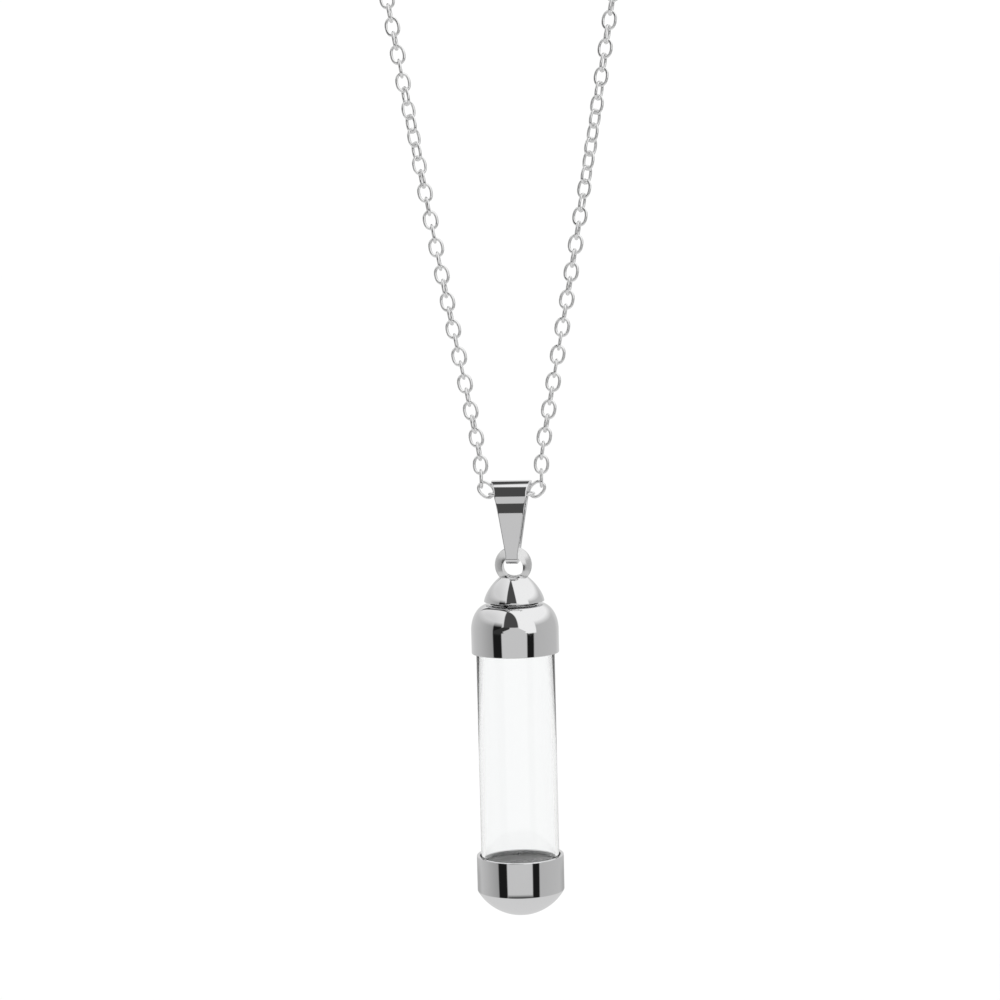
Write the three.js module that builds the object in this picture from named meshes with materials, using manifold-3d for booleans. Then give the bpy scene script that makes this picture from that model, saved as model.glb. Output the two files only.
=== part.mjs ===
// A small glass bottle pendant with polished steel end caps, on a fine cable chain.
// Millimetres, +Z up, the front faces -Y. The origin is the point on the inside of the
// chain's top where a neck or a peg holds it up.
import * as THREE from 'three';
import { mergeVertices } from 'three/addons/utils/BufferGeometryUtils.js';
import Module from 'manifold-3d';

const wasm = await Module();
wasm.setup();

// Chain
const linkWidth = 1.9;
const chainSegments = 8;
const stationSpacing = 7.8;
// Half of the chain's lower part: distance from the middle, and height above the bail's tunnel.
const chainLowerRoute = [
  { side: 0, height: 0 },
  { side: 1.1, height: 0 },
  { side: 2.25, height: 0.02 },
  { side: 2.95, height: 0.2 },
  { side: 3.5, height: 0.68 },
  { side: 3.66, height: 1.5 },
  { side: 3.66, height: 2.7 },
  { side: 3.7, height: 4.3 },
  { side: 4.9, height: 11.2 },
  { side: 7.2, height: 23.4 },
  { side: 9.4, height: 35.6 },
  { side: 11.52, height: 47.7 },
  { side: 13.55, height: 59.8 },
];
// Half of its arch round the neck: distance from the middle, and drop below the clasp.
const chainArch = [
  { side: 19.6, drop: 131.6 },
  { side: 25.4, drop: 91.6 },
  { side: 29.9, drop: 58.6 },
  { side: 31.2, drop: 38.6 },
  { side: 29.2, drop: 21.6 },
  { side: 23.6, drop: 9.6 },
  { side: 14.8, drop: 2.6 },
  { side: 5.4, drop: 0.2 },
];

// Clasp at the back of the neck
const claspHeight = 226.6;
const claspEyeRadius = 0.8;
const claspWire = 0.3;
const claspBodyRadius = 1.3;
const claspEndGap = 0.3;
const claspEndAngle = 1.1;
const claspSegments = 16;
const claspWireSides = 6;

// Bail, a strap folded round the chain and through the eyelet
const strapThickness = 0.45;
const crownRadius = 2.15;
const crownHalfWidth = 2.45;
const shoulderHalfWidth = 1.95;
const shoulderDrop = 1.5;
const tipHalfWidth = 0.75;
const flareTop = 0.1;
const flareEase = 0.08;
const flareBend = 0.55;
const tipDepth = 2.07;
const tipCornerRadius = 0.7;
const bailRise = 9.5;
const tunnelClearance = 0.3;

// Eyelet ball on the screw plug
const ballRadius = 2.25;
const ballDepthRadius = 1.45;
const boreRadius = 1.27;
const boreDrop = 0.2;
const strapClearance = 0.08;
const stemRadius = 1.7;
const stemTop = 1.2;
const stemTaper = 0.1;
const stemFlatness = 0.8;

// Screw plug
const plugRadius = 3.65;
const plugDomeHeight = 3.8;
// 2 makes the dome's side an ellipse and 1 a straight cone
const plugDomeFullness = 1.5;
const plugDrop = 4.4;
const shankRadius = 2.6;
const shankLength = 3.2;
const shankClearance = 0.3;
const shankChamfer = 0.3;
const seamGap = 0.3;

// Caps and glass
const capRadius = 5.3;
const skirtWall = 0.4;
const glassClearance = 0.15;
const glassWall = 0.5;
const glassChamfer = 0.1;
const glassVisible = 24.9;
const topInsert = 2.4;
const bottomInsert = 3.4;
const topSkirtHeight = 3;
const shoulderHeight = 2.95;
const crownLip = 0.2;
const shoulderDip = 0.2;
const shoulderStartAngle = 0.08;
const neckConeLift = 0.8;
const crownPlate = 0.8;
const bottomSkirtHeight = 4.3;
const domeHeight = 3.1;
const floorBelowRim = 0.35;
const floorClearance = 0.3;
const seatClearance = 0.2;
const roundSegments = 48;
const arcSteps = 10;
// How far a cutting shape reaches past what it cuts
const cutMargin = 0.5;

const quarter = Math.PI / 2;

// Materials
const steel = new THREE.MeshStandardMaterial({ color: 0xb9babc, roughness: 0.12, metalness: 1 });
const chainSteel = new THREE.MeshStandardMaterial({ color: 0xb4b5b8, roughness: 0.22, metalness: 1 });
const glass = new THREE.MeshStandardMaterial({
  color: 0xf2f6f6,
  roughness: 0.03,
  metalness: 0,
  transparent: true,
  opacity: 0.25,
});

// Turns a closed geometry into a solid that can be cut and joined.
function toSolid(geometry) {
  const bare = geometry.clone();
  bare.deleteAttribute('normal');
  bare.deleteAttribute('uv');
  const merged = mergeVertices(bare, 1e-4);
  const index = merged.index.array;
  const kept = [];
  for (let i = 0; i < index.length; i += 3) {
    const [a, b, c] = [index[i], index[i + 1], index[i + 2]];
    if (a !== b && b !== c && c !== a) kept.push(a, b, c);
  }
  return new wasm.Manifold(new wasm.Mesh({
    numProp: 3,
    vertProperties: new Float32Array(merged.attributes.position.array),
    triVerts: new Uint32Array(kept),
  }));
}

function toGeometry(solid) {
  const mesh = solid.getMesh();
  const geometry = new THREE.BufferGeometry();
  geometry.setAttribute('position', new THREE.BufferAttribute(mesh.vertProperties.slice(), 3));
  geometry.setIndex(new THREE.BufferAttribute(mesh.triVerts.slice(), 1));
  geometry.computeVertexNormals();
  return geometry;
}

// Turns a profile of [radius, height] points about the Z axis.
function turned(profile) {
  const points = profile.map(([radius, height]) => new THREE.Vector2(radius, height));
  return new THREE.LatheGeometry(points, roundSegments).rotateX(quarter);
}

// Points on an ellipse's arc about [radius, height], from one angle to another.
function arc(centreRadius, centreHeight, across, up, from, to, steps) {
  const points = [];
  for (let i = 0; i <= steps; i += 1) {
    const angle = from + (to - from) * i / steps;
    points.push([centreRadius + across * Math.cos(angle), centreHeight + up * Math.sin(angle)]);
  }
  return points;
}

function part(name, geometry, material, height = 0) {
  const mesh = new THREE.Mesh(geometry, material);
  mesh.name = name;
  mesh.position.z = height;
  return mesh;
}

// Levels, worked out from the top of the loop down
const tubeRadius = linkWidth / 2;
const chainLevel = tubeRadius - claspHeight;
const tunnelRadius = crownRadius - strapThickness;
const tunnelLevel = chainLevel - (tunnelRadius - tubeRadius - tunnelClearance);
const strapTop = Math.sqrt(boreRadius ** 2 - tipHalfWidth ** 2) - strapClearance;
const boreLevel = tunnelLevel + crownRadius - bailRise - strapTop;
const ballLevel = boreLevel + boreDrop;
const plugLevel = ballLevel - plugDrop;
const capTopLevel = plugLevel - seamGap;
const topRimLevel = capTopLevel - shoulderHeight - topSkirtHeight;
const bottomRimLevel = topRimLevel - glassVisible;
const glassRadius = capRadius - skirtWall - glassClearance;
const glassInner = glassRadius - glassWall;

// The chain's route as points close enough together to bend a tube along
function chainStations() {
  const lower = chainLowerRoute.map(({ side, height }) => new THREE.Vector3(side, 0, chainLevel + height));
  const arch = chainArch.map(({ side, drop }) => new THREE.Vector3(side, 0, chainLevel + claspHeight - drop));
  const right = [...lower, ...arch];
  const left = right.slice(1).map((point) => new THREE.Vector3(-point.x, 0, point.z));
  const route = [...left.reverse(), ...right];
  const curve = new THREE.CatmullRomCurve3(route, false, 'centripetal');
  const stations = [route[0]];
  for (let i = 1; i < route.length; i += 1) {
    const count = Math.max(1, Math.round(route[i].distanceTo(route[i - 1]) / stationSpacing));
    for (let k = 1; k <= count; k += 1) {
      stations.push(curve.getPoint((i - 1 + k / count) / (route.length - 1)));
    }
  }
  return stations;
}

// A path that puts one step of an extrusion at each station.
class StationPath extends THREE.Curve {
  constructor(stations) {
    super();
    this.stations = stations;
  }

  getPoint(t) {
    const place = t * (this.stations.length - 1);
    const i = Math.min(Math.floor(place), this.stations.length - 2);
    return this.stations[i].clone().lerp(this.stations[i + 1], place - i);
  }

  getPointAt(u) {
    return this.getPoint(u);
  }

  getTangentAt(u) {
    return this.getTangent(u);
  }
}

// The chain's outer envelope, an open loop that ends at the clasp's two eyes
function makeChain() {
  const stations = chainStations();
  const section = new THREE.Shape();
  section.absarc(0, 0, tubeRadius, 0, Math.PI * 2, false);
  return new THREE.ExtrudeGeometry(section, {
    steps: stations.length - 1,
    curveSegments: chainSegments / 2,
    bevelEnabled: false,
    extrudePath: new StationPath(stations),
  });
}

// A plain spindle with a ring eye at each end
function makeClasp() {
  const end = chainArch[chainArch.length - 1].side - claspEndGap;
  const eyeCentre = end - claspEyeRadius - claspWire;
  const bodyHalf = eyeCentre - claspEyeRadius + claspWire;
  const flank = arc(0, 0, claspBodyRadius, bodyHalf, -claspEndAngle, claspEndAngle, arcSteps);
  const profile = [[0, -bodyHalf], ...flank, [0, bodyHalf]];
  const points = profile.map(([radius, along]) => new THREE.Vector2(radius, along));
  let solid = toSolid(new THREE.LatheGeometry(points, claspSegments).rotateZ(-quarter));
  for (const side of [-1, 1]) {
    const eye = new THREE.TorusGeometry(claspEyeRadius, claspWire, claspWireSides, claspSegments).rotateX(quarter);
    solid = solid.add(toSolid(eye.translate(side * eyeCentre, 0, 0)));
  }
  return toGeometry(solid);
}

// The folded strap seen from the side, grown inwards by the inset
function strapOutline(path, inset) {
  const top = crownRadius - inset;
  const bottom = tipDepth - inset;
  const corner = tipCornerRadius - inset;
  const floor = crownRadius - bailRise - strapThickness + inset;
  path.moveTo(top, 0);
  path.absarc(0, 0, top, 0, Math.PI, false);
  path.lineTo(-bottom, floor + corner);
  path.absarc(corner - bottom, floor + corner, corner, Math.PI, Math.PI + quarter, false);
  path.lineTo(bottom - corner, floor);
  path.absarc(bottom - corner, floor + corner, corner, -quarter, 0, false);
  path.lineTo(top, 0);
  return path;
}

// The strap's side outline cut to its front outline, which flares at the fold
function makeBail() {
  const side = strapOutline(new THREE.Shape(), 0);
  side.holes.push(strapOutline(new THREE.Path(), strapThickness));
  const width = (crownHalfWidth + cutMargin) * 2;
  const strap = new THREE.ExtrudeGeometry(side, { depth: width, curveSegments: 14, bevelEnabled: false });
  strap.translate(0, 0, -width / 2).rotateX(quarter).rotateZ(quarter);

  const bottom = crownRadius - bailRise;
  const half = new THREE.QuadraticBezierCurve(
    new THREE.Vector2(crownHalfWidth, crownRadius - flareTop),
    new THREE.Vector2(shoulderHalfWidth + flareEase, crownRadius - shoulderDrop * flareBend),
    new THREE.Vector2(shoulderHalfWidth, crownRadius - shoulderDrop),
  ).getPoints(arcSteps);
  half.unshift(new THREE.Vector2(crownHalfWidth, crownRadius + cutMargin));
  half.push(new THREE.Vector2(tipHalfWidth, bottom + tipCornerRadius));
  half.push(new THREE.Vector2(tipHalfWidth, bottom - strapThickness - cutMargin));
  const mirrored = half.map(({ x, y }) => new THREE.Vector2(-x, y)).reverse();
  const depth = (crownRadius + cutMargin) * 2;
  const front = new THREE.Shape([...half, ...mirrored]);
  const cutter = new THREE.ExtrudeGeometry(front, { depth, bevelEnabled: false });
  cutter.translate(0, 0, -depth / 2).rotateX(quarter);
  return toGeometry(toSolid(strap).intersect(toSolid(cutter)));
}

// One solid: drilled ball, stem, dome and a plain shank where the thread is
function makePlug() {
  const dome = [];
  for (let i = 0; i < arcSteps; i += 1) {
    const angle = quarter * i / arcSteps;
    const radius = plugRadius * Math.cos(angle) ** (2 / plugDomeFullness);
    dome.push([radius, plugDomeHeight * Math.sin(angle) ** (2 / plugDomeFullness) - plugDrop]);
  }
  const bodyProfile = [
    [0, -plugDrop - shankLength],
    [shankRadius - shankChamfer, -plugDrop - shankLength],
    [shankRadius, -plugDrop - shankLength + shankChamfer],
    [shankRadius, -plugDrop],
    ...dome,
    [0, -plugDrop + plugDomeHeight],
  ];
  const stemLength = plugDrop / 2 - stemTop;
  const stem = new THREE.CylinderGeometry(stemRadius - stemTaper, stemRadius, stemLength, roundSegments / 2);
  stem.rotateX(quarter).translate(0, 0, -stemTop - stemLength / 2).scale(1, stemFlatness, 1);
  const ball = new THREE.SphereGeometry(ballRadius, 32, 20).rotateX(quarter);
  ball.scale(1, ballDepthRadius / ballRadius, 1);
  const bore = new THREE.CylinderGeometry(boreRadius, boreRadius, ballRadius * 2, 32).translate(0, 0, -boreDrop);
  return toGeometry(toSolid(turned(bodyProfile)).add(toSolid(stem)).add(toSolid(ball)).subtract(toSolid(bore)));
}

// Skirt, rounded shoulder and a flat crown plate with the neck's hole, from the lower rim up
function makeTopCap() {
  const neck = shankRadius + shankClearance;
  const top = topSkirtHeight + shoulderHeight;
  const seat = topInsert + seatClearance;
  const inner = capRadius - skirtWall;
  const shoulderTop = neck + crownLip;
  const across = capRadius - shoulderTop;
  const base = topSkirtHeight - shoulderDip;
  const shoulder = arc(shoulderTop, base, across, top - base, shoulderStartAngle, quarter, arcSteps);
  return turned([
    [inner, 0],
    [capRadius, 0],
    [capRadius, topSkirtHeight],
    ...shoulder,
    [neck, top],
    [neck, top - crownPlate],
    [glassInner, seat + neckConeLift],
    [glassInner, seat],
    [inner, seat],
    [inner, 0],
  ]);
}

function makeGlassTube() {
  const length = glassVisible + topInsert + bottomInsert;
  return turned([
    [glassInner, glassChamfer],
    [glassInner + glassChamfer, 0],
    [glassRadius - glassChamfer, 0],
    [glassRadius, glassChamfer],
    [glassRadius, length - glassChamfer],
    [glassRadius - glassChamfer, length],
    [glassInner + glassChamfer, length],
    [glassInner, length - glassChamfer],
    [glassInner, glassChamfer],
  ]);
}

// A domed plug with a ring groove that the glass stands in, from the rim down
function makeBottomCap() {
  const inner = capRadius - skirtWall;
  const floorRadius = glassInner - floorClearance;
  const grooveBottom = -bottomInsert - seatClearance;
  const sphere = (capRadius ** 2 + domeHeight ** 2) / (2 * domeHeight);
  const edgeAngle = Math.asin(capRadius / sphere);
  const dome = arc(0, sphere - bottomSkirtHeight - domeHeight, sphere, sphere, -quarter, edgeAngle - quarter, arcSteps);
  return turned([
    [0, -bottomSkirtHeight - domeHeight],
    ...dome.slice(1),
    [capRadius, 0],
    [inner, 0],
    [inner, grooveBottom],
    [floorRadius, grooveBottom],
    [floorRadius, -floorBelowRim],
    [0, -floorBelowRim],
  ]);
}

const pendant = new THREE.Group();
pendant.name = 'bottle_pendant';
pendant.add(part('chain', makeChain(), chainSteel));
pendant.add(part('clasp', makeClasp(), chainSteel, tubeRadius));
pendant.add(part('bail', makeBail(), steel, tunnelLevel));
pendant.add(part('screw_plug', makePlug(), steel, ballLevel));
pendant.add(part('top_cap', makeTopCap(), steel, topRimLevel));
pendant.add(part('glass_tube', makeGlassTube(), glass, bottomRimLevel - bottomInsert));
pendant.add(part('bottom_cap', makeBottomCap(), steel, bottomRimLevel));

export default pendant;
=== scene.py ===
import math

import bmesh
import bpy
from mathutils import Matrix, Vector


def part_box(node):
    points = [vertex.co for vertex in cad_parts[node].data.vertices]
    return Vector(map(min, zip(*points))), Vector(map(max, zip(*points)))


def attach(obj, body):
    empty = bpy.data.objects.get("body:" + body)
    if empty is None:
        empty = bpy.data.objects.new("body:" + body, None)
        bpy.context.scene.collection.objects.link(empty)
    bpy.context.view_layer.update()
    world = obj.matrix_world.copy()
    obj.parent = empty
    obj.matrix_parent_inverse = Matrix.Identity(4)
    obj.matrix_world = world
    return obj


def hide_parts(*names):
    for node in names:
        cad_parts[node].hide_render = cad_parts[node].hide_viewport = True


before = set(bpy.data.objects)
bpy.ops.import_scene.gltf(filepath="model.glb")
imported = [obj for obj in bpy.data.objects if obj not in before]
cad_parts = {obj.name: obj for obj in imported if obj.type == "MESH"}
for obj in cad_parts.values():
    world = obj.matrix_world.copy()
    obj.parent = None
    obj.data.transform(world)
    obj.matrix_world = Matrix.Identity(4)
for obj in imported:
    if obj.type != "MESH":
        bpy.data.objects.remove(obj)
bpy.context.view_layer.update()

MM = 0.001
TAU = 2 * math.pi

# Camera, set to the photograph's viewing angle
LENS = 100
SENSOR = 36
FRAME_WIDTH_MM = 120.5
PITCH = math.radians(5.5)
AZIMUTH = math.radians(6)
ROLL = math.radians(1.4)
TARGET_BELOW_BAIL_TOP = 2.35 * MM
TARGET_LEFT = 1.42 * MM

# Sizes that the frame's boxes don't give
LINK_WIDTH = 1.9 * MM
LINK_WIRE = 0.19 * MM
LINK_PITCH = 1.67 * MM
# 1 makes a link an oval, and less makes it squarer
LINK_FULLNESS = 0.86
# Steps along each span of the chain's route, and links over which its twist fades out at the clasp
ROUTE_STEPS = 24
FADE_LINKS = 6
STRAP = 0.45 * MM
SHOULDER_HALF_WIDTH = 1.95 * MM
SHOULDER_DROP = 1.5 * MM
FLARE_POWER = 2.2
TIP_HALF_WIDTH = 0.75 * MM
TIP_DEPTH = 2.07 * MM
TIP_CORNER = 0.7 * MM
STRAP_BEVEL = 0.1 * MM
# The strap draws in by this much below its fold, and spreads again towards the tip
PINCH = 0.36 * MM
PINCH_LENGTH = 2.4 * MM
BALL_RADIUS = 2.25 * MM
BALL_DEPTH = 1.45 * MM
BORE_RADIUS = 1.27 * MM
BORE_DROP = 0.2 * MM
STEM_RADIUS = 1.7 * MM
STEM_TOP = 1.2 * MM
# The stem starts and ends at these shares of its radius, and is flattened by this share at its top
STEM_FOOT = 0.94
STEM_TIP = 0.9
STEM_FLATTENING = 0.25
PLUG_DROP = 4.4 * MM
PLUG_DOME = 3.8 * MM
PLUG_FULLNESS = 1.5
SHANK_RADIUS = 2.6 * MM
NECK_RADIUS = 2.9 * MM
SKIRT_WALL = 0.4 * MM
SKIRT_HEIGHT = 3 * MM
SHOULDER_TOP_RADIUS = 3.1 * MM
SHOULDER_DIP = 0.2 * MM
SHOULDER_START_ANGLE = 0.08
NECK_CONE_LIFT = 0.8 * MM
CROWN_PLATE = 0.8 * MM
GLASS_WALL = 0.5 * MM
TOP_SEAT = 2.6 * MM
GROOVE_DEPTH = 3.6 * MM
FLOOR_DROP = 0.35 * MM
FLOOR_CLEARANCE = 0.3 * MM
DOME_HEIGHT = 3.1 * MM
CLASP_EYE_RADIUS = 0.8 * MM
CLASP_WIRE = 0.3 * MM
CLASP_END_ANGLE = 1.45
CLASP_FULLNESS = 0.8
EDGE = 0.07 * MM
GLASS_EDGE = 0.105 * MM
PLUG_EDGE = 0.06 * MM
# Steps round a turned piece and along its arcs
ROUND = 160
ARC_STEPS = 28
TINY = 1e-9

# Half of the chain's route in millimetres, as the frame's chain runs: side, and height above its lowest point
HALF_ROUTE = [
    (0, 0), (1.1, 0), (2.25, 0.02), (2.95, 0.2), (3.5, 0.68), (3.66, 1.5), (3.66, 2.7), (3.7, 4.3),
    (4.9, 11.2), (7.2, 23.4), (9.4, 35.6), (11.52, 47.7), (13.55, 59.8), (19.6, 95), (25.4, 135),
    (29.9, 168), (31.2, 188), (29.2, 205), (23.6, 217), (14.8, 224),
]
# Where the last link hooks into the clasp's eye, in millimetres from the middle
CLASP_LINK_SIDE = 4.55
CLASP_HEIGHT = 226.6

bail_low, bail_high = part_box("bail")
plug_low, plug_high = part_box("screw_plug")
top_low, top_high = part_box("top_cap")
glass_low, glass_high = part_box("glass_tube")
bottom_low, bottom_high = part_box("bottom_cap")
clasp_low, clasp_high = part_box("clasp")
ball_level = plug_high[2] - BALL_RADIUS
tunnel_level = bail_high[2] - bail_high[1]
clasp_level = (clasp_low[2] + clasp_high[2]) / 2
chain_level = clasp_level - CLASP_HEIGHT * MM


# Nodes of a material, made one by one
class Graph:
    def __init__(self, tree):
        self.tree = tree

    def node(self, kind, inputs=(), **settings):
        made = self.tree.nodes.new(kind)
        for name, value in settings.items():
            setattr(made, name, value)
        for socket, value in dict(inputs).items():
            if isinstance(value, bpy.types.NodeSocket):
                self.tree.links.new(value, made.inputs[socket])
            else:
                made.inputs[socket].default_value = value
        return made

    def math(self, operation, first, second=0.0):
        return self.node("ShaderNodeMath", {0: first, 1: second}, operation=operation).outputs[0]

    # Goes from one output to another while the value goes from start to end
    def slide(self, value, start, end, first=0.0, last=1.0):
        inputs = {0: value, 1: start, 2: end, 3: first, 4: last}
        return self.node("ShaderNodeMapRange", inputs).outputs[0]

    # 1 while the value lies between two limits, and 0 outside them
    def between(self, value, low, high, soft):
        rise = self.slide(value, low - soft, low + soft)
        fall = self.slide(value, high - soft, high + soft, 1.0, 0.0)
        return self.math("MULTIPLY", rise, fall)

    def mix(self, share, first, second):
        return self.node("ShaderNodeMix", {0: share, 2: first, 3: second}).outputs[0]

    def noise(self, place, scale, detail):
        return self.node("ShaderNodeTexNoise", {"Vector": place, "Scale": scale, "Detail": detail}).outputs[0]

    # The object's own coordinates, shrunk along its height so that a noise becomes lines along it
    def stretched(self, place, height_scale):
        return self.node("ShaderNodeMapping", {"Vector": place, "Scale": (1.0, 1.0, height_scale)}).outputs[0]

    def bump(self, height, strength):
        inputs = {"Height": height, "Strength": strength, "Distance": 0.00001}
        return self.node("ShaderNodeBump", inputs).outputs[0]

    def ramp(self, value, stops):
        made = self.node("ShaderNodeValToRGB", {0: value})
        band = made.color_ramp
        while len(band.elements) < len(stops):
            band.elements.new(0.5)
        for element, (place, shade) in zip(band.elements, stops):
            element.position = place
            element.color = (shade, shade, shade, 1)
        return made.outputs[0]


def new_material(name):
    material = bpy.data.materials.new(name)
    material.use_nodes = True
    material.node_tree.nodes.clear()
    return material, Graph(material.node_tree)


def finish_shader(graph, shader):
    graph.node("ShaderNodeOutputMaterial", {0: shader.outputs[0]})


# Steel with faint hairlines and a slightly cloudy polish; edge is how bright it stays at a grazing angle
def steel_material(name, colour, roughness, hair_scale, bump, edge=1.0):
    material, graph = new_material(name)
    place = graph.node("ShaderNodeTexCoord").outputs["Object"]
    cloud = graph.noise(place, 260.0, 4.0)
    hair = graph.noise(graph.stretched(place, hair_scale), 900.0, 3.0)
    rough = graph.slide(cloud, 0.3, 0.7, roughness * 0.7, roughness * 1.4)
    low = tuple(channel * 0.96 for channel in colour)
    tone = graph.node("ShaderNodeMix", {0: cloud, 6: (*low, 1), 7: (*colour, 1)}, data_type="RGBA").outputs[2]
    shader = graph.node("ShaderNodeBsdfPrincipled", {
        "Base Color": tone,
        "Roughness": rough,
        "Metallic": 1.0,
        "Specular Tint": (edge, edge, edge, 1),
        "Normal": graph.bump(hair, bump),
    })
    finish_shader(graph, shader)
    return material


# Clear glass with faint drawing streaks and a trace of cloudiness
def glass_material():
    material, graph = new_material("bottle_glass")
    place = graph.node("ShaderNodeTexCoord").outputs["Object"]
    streak = graph.noise(graph.stretched(place, 0.04), 700.0, 2.0)
    shader = graph.node("ShaderNodeBsdfPrincipled", {
        "Base Color": (0.985, 0.99, 0.99, 1),
        "Roughness": graph.slide(streak, 0.4, 0.8, 0.0, 0.03),
        "IOR": 1.47,
        "Transmission Weight": 1.0,
        "Normal": graph.bump(streak, 0.03),
    })
    output = graph.node("ShaderNodeOutputMaterial", {0: shader.outputs[0]})
    depth = graph.node("ShaderNodeVolumeAbsorption", {"Color": (0.0, 0.0, 0.0, 1), "Density": 22.0})
    graph.tree.links.new(depth.outputs[0], output.inputs["Volume"])
    return material


STEEL = steel_material("polished_steel", (0.86, 0.86, 0.865), 0.035, 0.1, 0.05)
CAST = steel_material("cast_eyelet", (0.8, 0.8, 0.8), 0.2, 0.6, 0.25)
# Steel darkened to 0.2, with a dim grazing edge: painted shade for the groove and floor inside the glass
FLOOR_PAINTED_SHADE = steel_material("turned_floor_painted_shade", (0.2, 0.2, 0.2), 0.3, 0.3, 0.3, edge=0.55)
WIRE = steel_material("chain_wire", (0.93, 0.93, 0.93), 0.07, 1.0, 0.1)
GLASS = glass_material()


# A smooth mesh that rides on a body and takes the place of a CAD piece
def make_object(name, vertices, faces, materials, body, replaced=None, face_slots=None):
    mesh = bpy.data.meshes.new(name)
    mesh.from_pydata(vertices, [], faces)
    for material in materials:
        mesh.materials.append(material)
    if face_slots:
        mesh.polygons.foreach_set("material_index", face_slots)
    mesh.polygons.foreach_set("use_smooth", [True] * len(mesh.polygons))
    mesh.update()
    made = bpy.data.objects.new(name, mesh)
    bpy.context.scene.collection.objects.link(made)
    if body:
        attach(made, body)
    if replaced:
        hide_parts(replaced)
    return made


# Rounds each corner of a closed profile of (radius, height) points with a short curve
def rounded(profile, size):
    points = []
    count = len(profile)
    for i, (r, z) in enumerate(profile):
        before = Vector(profile[i - 1]) - Vector((r, z))
        after = Vector(profile[(i + 1) % count]) - Vector((r, z))
        sharp = before.length > TINY and after.length > TINY and before.angle(after) < math.radians(165)
        if not sharp or r < TINY:
            points.append((r, z))
            continue
        step = min(size, before.length * 0.4, after.length * 0.4)
        start = Vector((r, z)) + before.normalized() * step
        end = Vector((r, z)) + after.normalized() * step
        for t in (0, 0.25, 0.5, 0.75, 1):
            bend = start * (1 - t) ** 2 + Vector((r, z)) * 2 * t * (1 - t) + end * t ** 2
            points.append(tuple(bend))
    return points


# Turns a closed profile about Z; points on the axis become one vertex
def turned(profile):
    vertices, rings, faces = [], [], []
    for r, z in profile:
        if r < TINY:
            rings.append([len(vertices)] * ROUND)
            vertices.append((0, 0, z))
            continue
        rings.append([len(vertices) + k for k in range(ROUND)])
        for k in range(ROUND):
            vertices.append((r * math.cos(TAU * k / ROUND), r * math.sin(TAU * k / ROUND), z))
    for low, high in zip(rings, rings[1:] + rings[:1]):
        for k in range(ROUND):
            corners = []
            for index in (low[k], low[(k + 1) % ROUND], high[(k + 1) % ROUND], high[k]):
                if index not in corners:
                    corners.append(index)
            if len(corners) > 2:
                faces.append(corners)
    return vertices, faces


# Points along an ellipse's arc, from one angle to another
def arc(centre, across, up, start, end, steps):
    points = []
    for i in range(steps + 1):
        angle = start + (end - start) * i / steps
        points.append((centre[0] + across * math.cos(angle), centre[1] + up * math.sin(angle)))
    return points


def make_top_cap():
    radius, rim, top = top_high[0], top_low[2], top_high[2]
    inner = radius - SKIRT_WALL
    bore = glass_high[0] - GLASS_WALL
    bend = (SHOULDER_TOP_RADIUS, rim + SKIRT_HEIGHT - SHOULDER_DIP)
    shoulder = arc(bend, radius - bend[0], top - bend[1], SHOULDER_START_ANGLE, math.pi / 2, ARC_STEPS)
    profile = [(inner, rim), (radius, rim), (radius, rim + SKIRT_HEIGHT), *shoulder]
    seat = rim + TOP_SEAT
    profile += [(NECK_RADIUS, top), (NECK_RADIUS, top - CROWN_PLATE)]
    profile += [(bore, seat + NECK_CONE_LIFT), (bore, seat), (inner, seat)]
    vertices, faces = turned(rounded(profile, EDGE))
    make_object("top_cap_fine", vertices, faces, [STEEL], "bottle", "top_cap")


# Domed cap with a groove for the glass; the groove and the floor disc inside the glass have a duller steel,
# darkened as painted shade for the recess under the glass
def make_bottom_cap():
    radius, rim, low = bottom_high[0], bottom_high[2], bottom_low[2]
    inner = radius - SKIRT_WALL
    floor = glass_high[0] - GLASS_WALL - FLOOR_CLEARANCE
    sphere = (radius ** 2 + DOME_HEIGHT ** 2) / (2 * DOME_HEIGHT)
    edge = math.asin(radius / sphere)
    dome = arc((0, low + sphere), sphere, sphere, -math.pi / 2, edge - math.pi / 2, ARC_STEPS)
    profile = [(0, low), *dome[1:], (radius, rim), (inner, rim), (inner, rim - GROOVE_DEPTH)]
    profile += [(floor, rim - GROOVE_DEPTH), (floor, rim - FLOOR_DROP), (0, rim - FLOOR_DROP)]
    vertices, faces = turned(rounded(profile, EDGE))
    # Faces in the groove and on the floor under the glass take the steel darkened with painted shade
    margin = 0.001 * MM
    slots = []
    for face in faces:
        farthest = max(math.hypot(*vertices[k][:2]) for k in face)
        lowest = min(vertices[k][2] for k in face)
        inside = farthest < inner + margin and lowest > rim - GROOVE_DEPTH - margin
        slots.append(1 if inside else 0)
    make_object(
        "bottom_cap_fine", vertices, faces, [STEEL, FLOOR_PAINTED_SHADE], "bottle", "bottom_cap", slots
    )


def make_glass():
    outer, low, high = glass_high[0], glass_low[2], glass_high[2]
    inner = outer - GLASS_WALL
    profile = [(inner, low), (outer, low), (outer, high), (inner, high)]
    vertices, faces = turned(rounded(profile, GLASS_EDGE))
    make_object("glass_tube_fine", vertices, faces, [GLASS], "bottle", "glass_tube")


# Takes the tool's shape out of the target and deletes the tool
def cut(target, tool):
    modifier = target.modifiers.new("bore", "BOOLEAN")
    modifier.object = tool
    modifier.operation = "DIFFERENCE"
    modifier.solver = "EXACT"
    bpy.context.view_layer.update()
    evaluated = target.evaluated_get(bpy.context.evaluated_depsgraph_get())
    mesh = bpy.data.meshes.new_from_object(evaluated)
    target.modifiers.clear()
    target.data = mesh
    bpy.data.objects.remove(tool)


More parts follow.
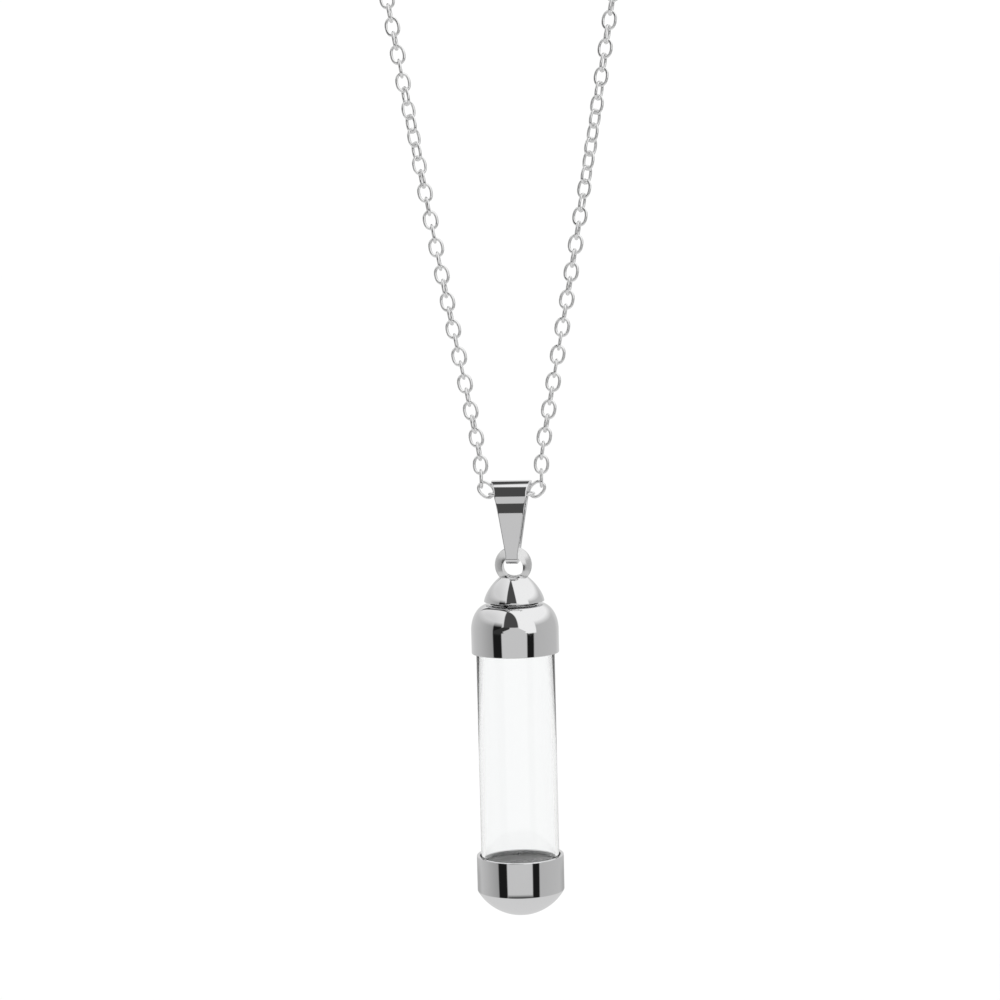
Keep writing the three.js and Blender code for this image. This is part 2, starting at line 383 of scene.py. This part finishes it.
def bore_tool():
    shape = bmesh.new()
    turn = Matrix.Translation((0, 0, ball_level - BORE_DROP)) @ Matrix.Rotation(math.pi / 2, 4, "X")
    length = BALL_RADIUS * 3
    bmesh.ops.create_cone(
        shape, cap_ends=True, segments=96, radius1=BORE_RADIUS, radius2=BORE_RADIUS, depth=length, matrix=turn
    )
    return helper("bore_tool", shape)


def ellipsoid(name, radii, centre):
    shape = bmesh.new()
    bmesh.ops.create_uvsphere(shape, u_segments=128, v_segments=64, radius=1)
    bmesh.ops.scale(shape, vec=radii, verts=shape.verts)
    bmesh.ops.translate(shape, vec=centre, verts=shape.verts)
    return helper(name, shape)


def helper(name, shape):
    mesh = bpy.data.meshes.new(name)
    shape.to_mesh(mesh)
    shape.free()
    made = bpy.data.objects.new(name, mesh)
    bpy.context.scene.collection.objects.link(made)
    return made


# Drilled ball, stem, dome and shank; the ball has its own duller finish
def make_plug():
    base = ball_level - PLUG_DROP
    dome = []
    steps = 40
    for i in range(steps + 1):
        angle = math.pi / 2 * i / steps
        radius = plug_high[0] * max(0, math.cos(angle)) ** (2 / PLUG_FULLNESS)
        dome.append((radius, base + PLUG_DOME * math.sin(angle) ** (2 / PLUG_FULLNESS)))
    dome = [point for point in dome if point[0] > STEM_RADIUS * STEM_FOOT]
    stem_top = ball_level - STEM_TOP
    profile = [(0, plug_low[2]), (SHANK_RADIUS, plug_low[2]), (SHANK_RADIUS, base), *dome]
    profile += [(STEM_RADIUS * STEM_TIP, stem_top), (0, stem_top)]
    vertices, faces = turned(rounded(profile, EDGE))
    shaped = []
    for x, y, z in vertices:
        t = min(1, max(0, (z - dome[-1][1]) / (stem_top - dome[-1][1])))
        shaped.append((x, y * (1 - STEM_FLATTENING * t), z))
    plug = make_object("plug_fine", shaped, faces, [STEEL], None)
    ball = ellipsoid("ball", (BALL_RADIUS, BALL_DEPTH, BALL_RADIUS), (0, 0, ball_level))
    ball.data.materials.append(STEEL)
    ball.data.materials.append(CAST)
    for piece in (ball, plug):
        cut(piece, bore_tool())
    for face in ball.data.polygons:
        face.material_index = 1
    shape = bmesh.new()
    shape.from_mesh(plug.data)
    shape.from_mesh(ball.data)
    shape.to_mesh(plug.data)
    shape.free()
    bpy.data.objects.remove(ball)
    plug.data.materials.append(CAST)
    plug.data.polygons.foreach_set("use_smooth", [True] * len(plug.data.polygons))
    plug.data.set_sharp_from_angle(angle=math.radians(32))
    bevel = plug.modifiers.new("edge", "BEVEL")
    bevel.width = PLUG_EDGE
    bevel.segments = 2
    bevel.limit_method = "ANGLE"
    bevel.angle_limit = math.radians(40)
    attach(plug, "plug")
    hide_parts("screw_plug")


# How far the strap is drawn in at a drop below the middle of its fold
def pinch(drop):
    t = min(1, drop / PINCH_LENGTH)
    return PINCH * t * t * (3 - 2 * t)


# The strap's middle line seen from the side, as (depth, height) points once round
def strap_path():
    top = bail_high[1] - STRAP / 2
    bottom = TIP_DEPTH - STRAP / 2
    corner = TIP_CORNER - STRAP / 2
    floor = bail_low[2] - tunnel_level + STRAP / 2
    steps = 48
    leg = []
    for i in range(1, steps):
        t = i / steps
        height = (floor + corner) * t
        leg.append((top - (top - bottom) * t - pinch(-height) * (1 - t), height))
    path = arc((0, 0), top, top, 0, math.pi, 40)
    path += [(-depth, height) for depth, height in leg]
    path += arc((corner - bottom, floor + corner), corner, corner, math.pi, math.pi * 1.5, 10)
    path += arc((bottom - corner, floor + corner), corner, corner, -math.pi / 2, 0, 10)
    return path + leg[::-1]


# Half the strap's width at a height above the tunnel
def strap_half_width(height):
    top = bail_high[1]
    foot = bail_low[2] - tunnel_level + TIP_CORNER + STRAP
    if height > top - SHOULDER_DROP:
        t = (height - top + SHOULDER_DROP) / SHOULDER_DROP
        return SHOULDER_HALF_WIDTH + (bail_high[0] - SHOULDER_HALF_WIDTH) * t ** FLARE_POWER
    t = min(1, max(0, (height - foot) / (top - SHOULDER_DROP - foot)))
    return TIP_HALF_WIDTH + (SHOULDER_HALF_WIDTH - TIP_HALF_WIDTH) * t


# The strap's section, with a bevel at each corner, carried round its path
def make_bail():
    path = strap_path()
    count = len(path)
    vertices = []
    for i, (depth, height) in enumerate(path):
        ahead = Vector(path[(i + 1) % count]) - Vector(path[i - 1])
        outward = Vector((ahead[1], -ahead[0])).normalized()
        half = strap_half_width(height + STRAP / 2 if height > 0 else height)
        section = []
        for side, out in ((-1, -1), (1, -1), (1, 1), (-1, 1)):
            corner = []
            for short, thin in ((1.6, 0), (1, 0), (0.3, 0.3), (0, 1)):
                x = side * (half - STRAP_BEVEL * short)
                corner.append((x, out * (STRAP / 2 - STRAP_BEVEL * thin)))
            section += corner if side * out < 0 else corner[::-1]
        for x, out in section:
            spot = Vector((depth, height)) + outward * out
            vertices.append((x, spot[0], tunnel_level + spot[1]))
    faces = loop_faces(count, len(vertices) // count)
    bail = make_object("bail_fine", vertices, faces, [STEEL], "bail", "bail")
    fix_normals(bail)
    bail.data.set_sharp_from_angle(angle=math.radians(50))


# Faces of a closed tube made of sections that join end to end
def loop_faces(count, around):
    faces = []
    for i in range(count):
        for k in range(around):
            a, b = i * around + k, i * around + (k + 1) % around
            c, d = ((i + 1) % count) * around + (k + 1) % around, ((i + 1) % count) * around + k
            faces.append((a, b, c, d))
    return faces


# Turns every face outwards
def fix_normals(made):
    shape = bmesh.new()
    shape.from_mesh(made.data)
    bmesh.ops.recalc_face_normals(shape, faces=shape.faces)
    shape.to_mesh(made.data)
    shape.free()


# Centripetal curve through points, sampled evenly in each span
def spline(points, steps):
    points = [points[0] * 2 - points[1], *points, points[-1] * 2 - points[-2]]
    samples = []
    for i in range(1, len(points) - 2):
        p0, p1, p2, p3 = points[i - 1:i + 3]
        t0 = 0
        t1 = t0 + math.sqrt((p1 - p0).length)
        t2 = t1 + math.sqrt((p2 - p1).length)
        t3 = t2 + math.sqrt((p3 - p2).length)
        for k in range(steps):
            t = t1 + (t2 - t1) * k / steps
            a1 = p0.lerp(p1, (t - t0) / (t1 - t0))
            a2 = p1.lerp(p2, (t - t1) / (t2 - t1))
            a3 = p2.lerp(p3, (t - t2) / (t3 - t2))
            b1 = a1.lerp(a2, (t - t0) / (t2 - t0))
            b2 = a2.lerp(a3, (t - t1) / (t3 - t1))
            samples.append(b1.lerp(b2, (t - t1) / (t2 - t1)))
    samples.append(points[-2])
    return samples


# One oval wire link along X, flat in XY
def link_shape(length, width, wire, around=22, sides=8):
    half_long, half_wide = length / 2 - wire, width / 2 - wire
    vertices = []
    for i in range(around):
        angle = TAU * i / around
        cosine, sine = math.cos(angle), math.sin(angle)
        centre = Vector((
            half_long * math.copysign(abs(cosine) ** LINK_FULLNESS, cosine),
            half_wide * math.copysign(abs(sine) ** LINK_FULLNESS, sine),
            0,
        ))
        out = Vector((cosine * half_wide, sine * half_long, 0)).normalized()
        for k in range(sides):
            turn = TAU * k / sides
            vertices.append(centre + (out * math.cos(turn) + Vector((0, 0, 1)) * math.sin(turn)) * wire)
    return vertices, loop_faces(around, sides)


def chain_route():
    right = [Vector((side, 0, height)) * MM for side, height in HALF_ROUTE]
    right.append(Vector((CLASP_LINK_SIDE, 0, CLASP_HEIGHT)) * MM)
    left = [Vector((-point.x, 0, point.z)) for point in right[1:]]
    route = [*reversed(left), *right]
    return [point + Vector((0, 0, chain_level)) for point in spline(route, ROUTE_STEPS)]


# The point at a distance along the route
def along(route, lengths, distance):
    low, high = 0, len(lengths) - 1
    while high - low > 1:
        middle = (low + high) // 2
        if lengths[middle] <= distance:
            low = middle
        else:
            high = middle
    span = max(lengths[high] - lengths[low], 1e-12)
    return route[low].lerp(route[high], (distance - lengths[low]) / span)


# The twist that lies in the chain, by the share of its length: a hard turn on each side of the
# pendant, and slow waves above
def chain_twist(share):
    left = math.exp(-((share - 0.404) / 0.014) ** 2)
    right = math.exp(-((share - 0.592) / 0.02) ** 2)
    away = min(1, max(0, (abs(share - 0.5) - 0.13) / 0.05))
    wave = math.sin(share * TAU * 4.3 + 0.6)
    return math.radians(44 * left + 40 * right + 30 * away * wave + 6 * math.sin(share * TAU * 31))


def make_chain():
    route = chain_route()
    lengths = [0]
    for start, end in zip(route, route[1:]):
        lengths.append(lengths[-1] + (end - start).length)
    total = lengths[-1]
    count = round(total / LINK_PITCH)
    if count % 2 == 0:
        count += 1
    pitch = total / count
    base, link_faces = link_shape(pitch + 4 * LINK_WIRE, LINK_WIDTH, LINK_WIRE)
    vertices, faces = [], []
    for i in range(count):
        start = along(route, lengths, pitch * i)
        end = along(route, lengths, pitch * (i + 1))
        forward = (end - start).normalized()
        side = Vector((0, 1, 0))
        up = forward.cross(side).normalized()
        fade = min(1, (count - 1 - i) / FADE_LINKS, i / FADE_LINKS)
        roll = chain_twist(i / count) * fade + (math.pi / 2 if i % 2 else 0) + math.pi / 2
        across = up * math.cos(roll) + side * math.sin(roll)
        normal = forward.cross(across)
        middle = (start + end) / 2
        offset = len(vertices)
        vertices += [middle + forward * v.x + across * v.y + normal * v.z for v in base]
        faces += [tuple(index + offset for index in face) for face in link_faces]
    chain = make_object("chain_links", vertices, faces, [WIRE], "chain", "chain")
    fix_normals(chain)


# A spindle with a ring eye at each end
def make_clasp():
    eye_centre = clasp_high[0] - CLASP_EYE_RADIUS - CLASP_WIRE
    half = eye_centre - CLASP_EYE_RADIUS + CLASP_WIRE
    body = (clasp_high[2] - clasp_low[2]) / 2
    vertices, faces = [], []
    rings, around = 33, 40
    for i in range(rings):
        angle = CLASP_END_ANGLE * (2 * i / (rings - 1) - 1)
        radius = body * math.cos(angle) ** CLASP_FULLNESS
        for k in range(around):
            turn = TAU * k / around
            y, z = radius * math.cos(turn), clasp_level + radius * math.sin(turn)
            vertices.append((half * math.sin(angle), y, z))
    for i in range(rings - 1):
        for k in range(around):
            a, b = i * around + k, i * around + (k + 1) % around
            faces.append((a, b, b + around, a + around))
    faces.append(tuple(range(around)))
    faces.append(tuple(range((rings - 1) * around, rings * around)))
    for side in (-1, 1):
        across = (CLASP_EYE_RADIUS + CLASP_WIRE) * 2
        eye, eye_faces = link_shape(across, across, CLASP_WIRE, 40, 14)
        offset = len(vertices)
        vertices += [(side * eye_centre + v.x, v.z, clasp_level + v.y) for v in eye]
        faces += [tuple(index + offset for index in face) for face in eye_faces]
    clasp = make_object("clasp_fine", vertices, faces, [WIRE], "chain", "clasp")
    fix_normals(clasp)
    clasp.data.set_sharp_from_angle(angle=math.radians(40))


make_top_cap()
make_bottom_cap()
make_glass()
make_plug()
make_bail()
make_chain()
make_clasp()


# Studio: white surroundings, a pale floor, and a tent of panels that only reflections see
def make_world():
    world = bpy.data.worlds.new("studio")
    world.use_nodes = True
    world.node_tree.nodes["Background"].inputs[0].default_value = (1, 1, 1, 1)
    world.node_tree.nodes["Background"].inputs[1].default_value = 1.03
    bpy.context.scene.world = world


FLOOR_HALF_SIZE = 12.0
FLOOR_BELOW = 0.06


def make_floor():
    material, graph = new_material("pale_floor")
    shader = graph.node("ShaderNodeBsdfDiffuse", {"Color": (0.985, 0.985, 0.985, 1)})
    finish_shader(graph, shader)
    size, level = FLOOR_HALF_SIZE, bottom_low[2] - FLOOR_BELOW
    corners = [(-size, -size, level), (size, -size, level), (size, size, level), (-size, size, level)]
    floor = make_object("floor", corners, [(0, 1, 2, 3)], [material], None)
    floor.visible_glossy = False


# Brightness of the tent's wall by the angle round from the camera's side, in degrees
TENT_BANDS = [
    (-180, 0.7), (-150, 0.65), (-138, 0.6), (-100, 0.5), (-62, 0.36), (-59, 0.012), (-37, 0.012),
    (-35, 0.62), (30, 0.62), (32, 0.012), (49, 0.012), (51, 0.5), (132, 0.55), (150, 0.65), (180, 0.7),
]
TENT_RADIUS = 0.7
CEILING = 0.98
CEILING_LEFT = 0.72
FLOOR_GLOW = 0.7
BOOM = 0.07
BOOM_START = 0.26
STRIP = 0.035
BACK_LOW = 0.45


# An emissive sphere seen by reflections alone. Across, toward and high are a point's place on it
# from -1 to 1, seen from the camera's side; around is its angle from there in radians.
def make_tent():
    material, graph = new_material("tent_panels")
    place = graph.node("ShaderNodeTexCoord").outputs["Object"]
    across, toward, high = graph.node("ShaderNodeSeparateXYZ", {0: place}).outputs
    across = graph.math("DIVIDE", across, TENT_RADIUS)
    toward = graph.math("DIVIDE", toward, -TENT_RADIUS)
    high = graph.math("DIVIDE", high, TENT_RADIUS)
    around = graph.math("ARCTAN2", across, toward)
    share = graph.math("ADD", graph.math("DIVIDE", around, TAU), 0.5)
    wall = graph.ramp(share, [((angle + 180) / 360, shade) for angle, shade in TENT_BANDS])
    ceiling = graph.slide(across, -0.75, -0.1, CEILING_LEFT, CEILING)
    shade = graph.mix(graph.slide(high, BOOM_START, 0.5), wall, ceiling)
    shade = graph.mix(graph.slide(high, -0.5, -0.42, 1.0, 0.0), shade, FLOOR_GLOW)
    # Right of the middle the ceiling comes down to the right band's top
    slope = graph.math("ADD", high, graph.math("MULTIPLY", around, 0.62))
    right = graph.slide(slope, 0.32, 0.35)
    right = graph.math("MULTIPLY", right, graph.between(around, 0.05, 1.0, 0.02))
    right = graph.math("MULTIPLY", right, graph.between(high, -0.03, 0.6, 0.01))
    shade = graph.mix(right, shade, ceiling)
    # Left of the middle a slanting dark strip joins the left band to the boom
    slope = graph.math("SUBTRACT", high, graph.math("MULTIPLY", graph.math("ADD", around, 0.82), 0.5))
    left = graph.between(slope, -0.1, 0.14, 0.015)
    left = graph.math("MULTIPLY", left, graph.between(around, -1.02, -0.25, 0.02))
    left = graph.math("MULTIPLY", left, graph.between(high, -0.04, 0.9, 0.01))
    shade = graph.mix(left, shade, STRIP)
    # The dark boom overhead runs from the camera's side to the back, narrowest straight above
    spread = graph.math("ADD", graph.math("MULTIPLY", graph.math("ABSOLUTE", toward), 0.33), 0.03)
    aside = graph.math("ABSOLUTE", graph.math("ADD", across, 0.19))
    boom = graph.slide(graph.math("SUBTRACT", aside, spread), -0.02, 0.02, 1.0, 0.0)
    boom = graph.math("MULTIPLY", boom, graph.between(high, BOOM_START, 1.2, 0.012))
    boom = graph.math("MULTIPLY", boom, graph.between(toward, -0.8, 1.2, 0.02))
    shade = graph.mix(boom, shade, BOOM)
    # A dark band low on the tent's back
    behind = graph.slide(graph.math("ABSOLUTE", around), 2.2, 2.5)
    band = graph.math("MULTIPLY", behind, graph.between(high, -0.38, -0.235, 0.03))
    shade = graph.mix(band, shade, BACK_LOW)
    # A low dark sill under the camera
    sill = graph.between(high, -0.49, -0.333, 0.008)
    sill = graph.math("MULTIPLY", sill, graph.between(around, -0.62, 0.55, 0.02))
    shade = graph.mix(sill, shade, BOOM)
    shader = graph.node("ShaderNodeEmission", {"Color": (1, 1, 1, 1), "Strength": shade})
    finish_shader(graph, shader)
    shape = bmesh.new()
    bmesh.ops.create_uvsphere(shape, u_segments=64, v_segments=32, radius=TENT_RADIUS)
    tent = helper("tent", shape)
    tent.data.materials.append(material)
    tent.location = (0, 0, ball_level)
    tent.rotation_euler = (0, 0, AZIMUTH)
    tent.visible_camera = False
    tent.visible_diffuse = False
    tent.visible_shadow = False
    tent.visible_transmission = False


def make_camera():
    data = bpy.data.cameras.new("camera")
    data.lens = LENS
    data.sensor_width = SENSOR
    data.clip_start = 0.01
    camera = bpy.data.objects.new("camera", data)
    bpy.context.scene.collection.objects.link(camera)
    distance = FRAME_WIDTH_MM * MM * LENS / SENSOR
    back = Vector((
        math.sin(AZIMUTH) * math.cos(PITCH), -math.cos(AZIMUTH) * math.cos(PITCH), math.sin(PITCH)
    ))
    right = Vector((math.cos(AZIMUTH), math.sin(AZIMUTH), 0))
    target = Vector((0, 0, bail_high[2] - TARGET_BELOW_BAIL_TOP)) - right * TARGET_LEFT
    turn = (-back).to_track_quat("-Z", "Y").to_matrix() @ Matrix.Rotation(-ROLL, 3, "Z")
    camera.matrix_world = Matrix.Translation(target + back * distance) @ turn.to_4x4()
    bpy.context.scene.camera = camera


make_world()
make_floor()
make_tent()
make_camera()
bpy.context.scene.view_settings.view_transform = "Standard"

bpy.context.view_layer.update()
